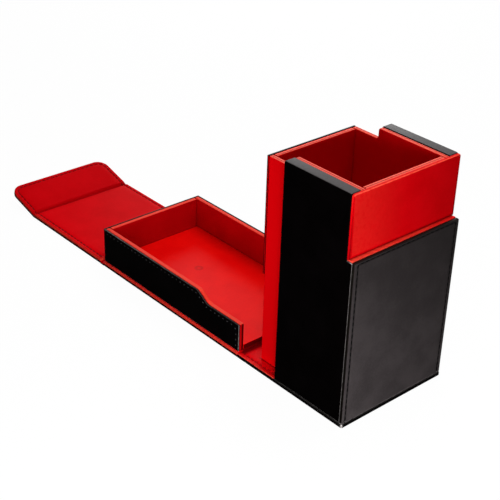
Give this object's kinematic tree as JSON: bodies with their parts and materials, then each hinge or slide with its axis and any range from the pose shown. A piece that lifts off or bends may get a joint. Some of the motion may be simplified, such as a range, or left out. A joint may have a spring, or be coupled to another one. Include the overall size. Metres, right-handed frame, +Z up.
{
  "type": "dice tower",
  "caption": "Folding dice tower: a square shaft with baffles between thick side panels, and a cover strip that unfolds into an open-ended dice tray, a lid and a closing flap.",
  "frame": {"origin": "on the table, at the centre of the underside of the tower's base panel", "axes": "+Z up; +Y towards the tower's back; the unfolded strip with tray, lid and flap runs towards -Y; +X towards the right side panel, seen from the back"},
  "size_m": [0.0864, 0.3672, 0.15],
  "materials": {
    "black_leather": "smooth artificial leather with a fine grain, satin",
    "red_leather": "smooth artificial leather lining, satin",
    "grey_board": "matt grey bookbinder's board",
    "nickel": "nickel-plated disc magnet"
  },
  "bodies": {
    "tower": {"base_leather": "black_leather", "base_board": "grey_board", "base_lining": "red_leather", "back_leather": "black_leather", "back_board": "grey_board", "back_spacer": "grey_board", "ledge_strip": "red_leather", "back_panel": "red_leather", "side_leather_right": "black_leather", "side_leather_left": "black_leather", "side_board_right": "grey_board", "side_board_left": "grey_board", "inner_wall_right": "red_leather", "inner_wall_left": "red_leather", "inner_wall_front": "red_leather", "inner_wall_back": "red_leather", "front_facing": "black_leather", "upper_baffle": "red_leather", "lower_baffle": "red_leather", "exit_ramp": "red_leather", "back_magnet_right": "nickel", "back_magnet_left": "nickel", "neck_magnet": "nickel", "tray_hinge_leather": "black_leather", "tray_hinge_lining": "red_leather"},
    "tray": {"tray_leather": "black_leather", "tray_board": "grey_board", "tray_lining": "red_leather", "tray_floor": "red_leather", "tray_magnet": "nickel", "tray_wall_right": "red_leather", "tray_wall_left": "red_leather", "tray_wall_end": "red_leather", "tray_skin_right": "black_leather", "tray_skin_left": "black_leather", "tray_skin_end": "black_leather", "lid_hinge_leather": "black_leather", "lid_hinge_lining": "red_leather"},
    "lid": {"lid_leather": "black_leather", "lid_board": "grey_board", "lid_lining": "red_leather", "flap_hinge_leather": "black_leather", "flap_hinge_lining": "red_leather"},
    "flap": {"flap_leather": "black_leather", "flap_board": "grey_board", "flap_lining": "red_leather", "flap_magnet_right": "nickel", "flap_magnet_left": "nickel"}
  },
  "joints": [
    {"name": "tray_hinge", "type": "hinge", "parent": "tower", "child": "tray", "pos_m": [0, -0.0465, 0], "axis": [-1, 0, 0], "range_deg": [0, 90], "deforming": ["tray_hinge_leather", "tray_hinge_lining"]},
    {"name": "lid_hinge", "type": "hinge", "parent": "tray", "child": "lid", "pos_m": [0, -0.2006, 0], "axis": [-1, 0, 0], "range_deg": [0, 90], "deforming": ["lid_hinge_leather", "lid_hinge_lining"]},
    {"name": "flap_hinge", "type": "hinge", "parent": "lid", "child": "flap", "pos_m": [0, -0.2909, 0], "axis": [-1, 0, 0], "range_deg": [-15, 75], "deforming": ["flap_hinge_leather", "flap_hinge_lining"]}
  ]
}
